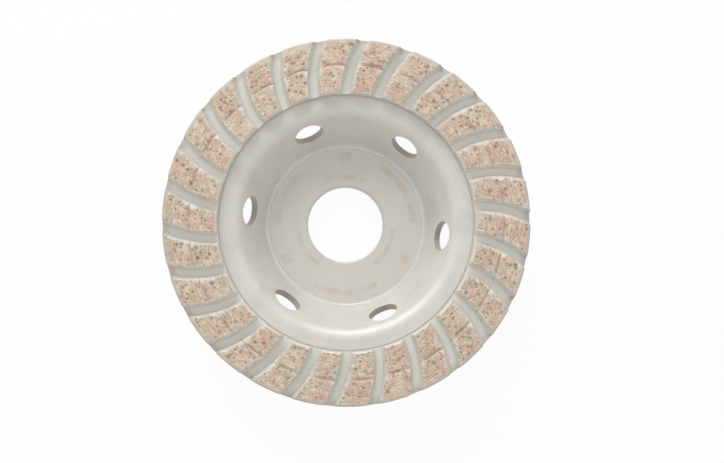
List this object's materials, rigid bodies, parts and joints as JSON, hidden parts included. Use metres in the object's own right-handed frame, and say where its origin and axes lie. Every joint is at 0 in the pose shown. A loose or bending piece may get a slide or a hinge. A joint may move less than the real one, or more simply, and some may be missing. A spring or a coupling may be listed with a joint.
{
  "type": "diamond cup wheel",
  "caption": "Diamond cup wheel for a hand angle grinder: a steel cup with a centre bore and dust holes, carrying two rows of sintered segments parted by curved grooves.",
  "frame": {"origin": "centre of the bore on the hub's back face, which is the face that sits on the grinder's flange", "axes": "+Z along the bore, from the hub's back face towards the grinding face; +X and +Y lie in the plane of the hub"},
  "size_m": [0.105, 0.105, 0.024],
  "materials": {
    "cup_paint": "satin silver-grey paint on turned steel",
    "segment_bond": "sintered bronze-based bond with diamond grit, ground flat on top"
  },
  "bodies": {
    "root": {"cup_body": "cup_paint", "outer_segment_01": "segment_bond", "outer_segment_02": "segment_bond", "outer_segment_03": "segment_bond", "outer_segment_04": "segment_bond", "outer_segment_05": "segment_bond", "outer_segment_06": "segment_bond", "outer_segment_07": "segment_bond", "outer_segment_08": "segment_bond", "outer_segment_09": "segment_bond", "outer_segment_10": "segment_bond", "outer_segment_11": "segment_bond", "outer_segment_12": "segment_bond", "outer_segment_13": "segment_bond", "outer_segment_14": "segment_bond", "outer_segment_15": "segment_bond", "outer_segment_16": "segment_bond", "outer_segment_17": "segment_bond", "outer_segment_18": "segment_bond", "outer_segment_19": "segment_bond", "outer_segment_20": "segment_bond", "outer_segment_21": "segment_bond", "outer_segment_22": "segment_bond", "outer_segment_23": "segment_bond", "outer_segment_24": "segment_bond", "outer_segment_25": "segment_bond", "outer_segment_26": "segment_bond", "inner_segment_01": "segment_bond", "inner_segment_02": "segment_bond", "inner_segment_03": "segment_bond", "inner_segment_04": "segment_bond", "inner_segment_05": "segment_bond", "inner_segment_06": "segment_bond", "inner_segment_07": "segment_bond", "inner_segment_08": "segment_bond", "inner_segment_09": "segment_bond", "inner_segment_10": "segment_bond", "inner_segment_11": "segment_bond", "inner_segment_12": "segment_bond", "inner_segment_13": "segment_bond", "inner_segment_14": "segment_bond", "inner_segment_15": "segment_bond", "inner_segment_16": "segment_bond", "inner_segment_17": "segment_bond", "inner_segment_18": "segment_bond", "inner_segment_19": "segment_bond", "inner_segment_20": "segment_bond", "inner_segment_21": "segment_bond", "inner_segment_22": "segment_bond", "inner_segment_23": "segment_bond", "inner_segment_24": "segment_bond", "inner_segment_25": "segment_bond", "inner_segment_26": "segment_bond"}
  },
  "joints": []
}
